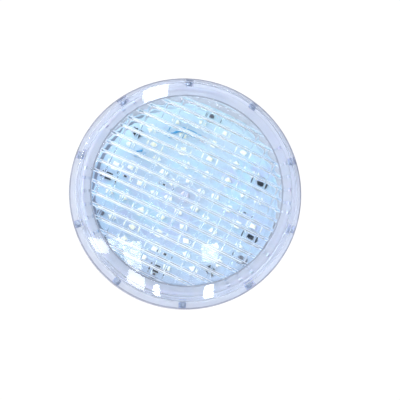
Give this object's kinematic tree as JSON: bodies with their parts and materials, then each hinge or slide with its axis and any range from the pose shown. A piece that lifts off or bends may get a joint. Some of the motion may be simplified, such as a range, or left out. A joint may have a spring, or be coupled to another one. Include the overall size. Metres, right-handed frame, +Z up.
{
  "type": "underwater pool light",
  "caption": "Sealed clear round underwater pool lamp: ribbed dome lens, clear flange, board of surface-mount LEDs and two rear screw terminals.",
  "frame": {"origin": "centre of the flange's flat rear seat", "axes": "the lamp faces -Y, +Y runs back to the terminals, +Z is up, +X is to the right seen from the front"},
  "size_m": [0.177, 0.111, 0.177],
  "materials": {
    "clear_plastic": "clear, polished, faint blue-lavender",
    "silicone_seal": "milky silicone",
    "board_white": "white solder mask on aluminium",
    "led_package": "white package with pale yellow phosphor",
    "chip_black": "moulded epoxy with tinned legs",
    "dark_steel": "dark, slightly worn",
    "aluminium": "satin",
    "thermal_pad": "matt",
    "circuit_laminate": "green solder mask",
    "capacitor_sleeve": "shrink sleeve",
    "ferrite": "matt, with copper winding",
    "nylon": "natural nylon",
    "wire_blue": "PVC insulation",
    "wire_brown": "PVC insulation",
    "potting_resin": "cast resin",
    "gasket_rubber": "matt",
    "brass": "bright",
    "steel": "bright"
  },
  "bodies": {
    "root": {"lens": "clear_plastic", "rear_shell": "clear_plastic", "lens_seal": "silicone_seal", "rim_screw_01": "steel", "rim_screw_02": "steel", "rim_screw_03": "steel", "rim_screw_04": "steel", "rim_screw_05": "steel", "rim_screw_06": "steel", "rim_screw_07": "steel", "rim_screw_08": "steel", "rim_screw_09": "steel", "rim_screw_10": "steel", "board_screw_1": "dark_steel", "board_screw_2": "dark_steel", "board_screw_3": "dark_steel", "led_board": "board_white", "led_ring_1": "led_package", "led_ring_2": "led_package", "led_ring_3": "led_package", "led_ring_4": "led_package", "led_ring_5": "led_package", "regulator_1": "chip_black", "regulator_2": "chip_black", "regulator_3": "chip_black", "regulator_4": "chip_black", "regulator_5": "chip_black", "regulator_6": "chip_black", "chip_resistor_1": "chip_black", "chip_resistor_2": "chip_black", "chip_resistor_3": "chip_black", "chip_resistor_4": "chip_black", "centre_screw": "steel", "thermal_pad": "thermal_pad", "heat_sink": "aluminium", "driver_post_1": "nylon", "driver_post_2": "nylon", "driver_post_3": "nylon", "driver_board": "circuit_laminate", "smoothing_capacitor_1": "capacitor_sleeve", "smoothing_capacitor_2": "capacitor_sleeve", "inductor": "ferrite", "bridge_rectifier": "chip_black", "board_lead_1": "wire_blue", "board_lead_2": "wire_blue", "terminal_lead_1": "wire_blue", "terminal_lead_2": "wire_brown", "neck_potting": "potting_resin", "terminal_gasket_1": "gasket_rubber", "terminal_post_1": "brass", "terminal_gasket_2": "gasket_rubber", "terminal_post_2": "brass"},
    "clamp_1": {"clamp_washer_1": "steel"},
    "clamp_2": {"clamp_washer_2": "steel"},
    "screw_1": {"terminal_screw_1": "steel"},
    "screw_2": {"terminal_screw_2": "steel"}
  },
  "joints": [
    {"name": "terminal_1_lift", "type": "slide", "parent": "root", "child": "clamp_1", "axis": [0, 1, 0], "range_m": [0, 0.0028]},
    {"name": "terminal_1_turn", "type": "hinge", "parent": "clamp_1", "child": "screw_1", "pos_m": [-0.015, 0.0736, 0], "axis": [0, 1, 0], "range_deg": [0, 1440]},
    {"name": "terminal_2_lift", "type": "slide", "parent": "root", "child": "clamp_2", "axis": [0, 1, 0], "range_m": [0, 0.0028]},
    {"name": "terminal_2_turn", "type": "hinge", "parent": "clamp_2", "child": "screw_2", "pos_m": [0.015, 0.0736, 0], "axis": [0, 1, 0], "range_deg": [0, 1440]}
  ],
  "couplings": [
    {"joint": "terminal_1_turn", "follows": "terminal_1_lift", "rad_per_m": 8976},
    {"joint": "terminal_2_turn", "follows": "terminal_2_lift", "rad_per_m": 8976}
  ]
}
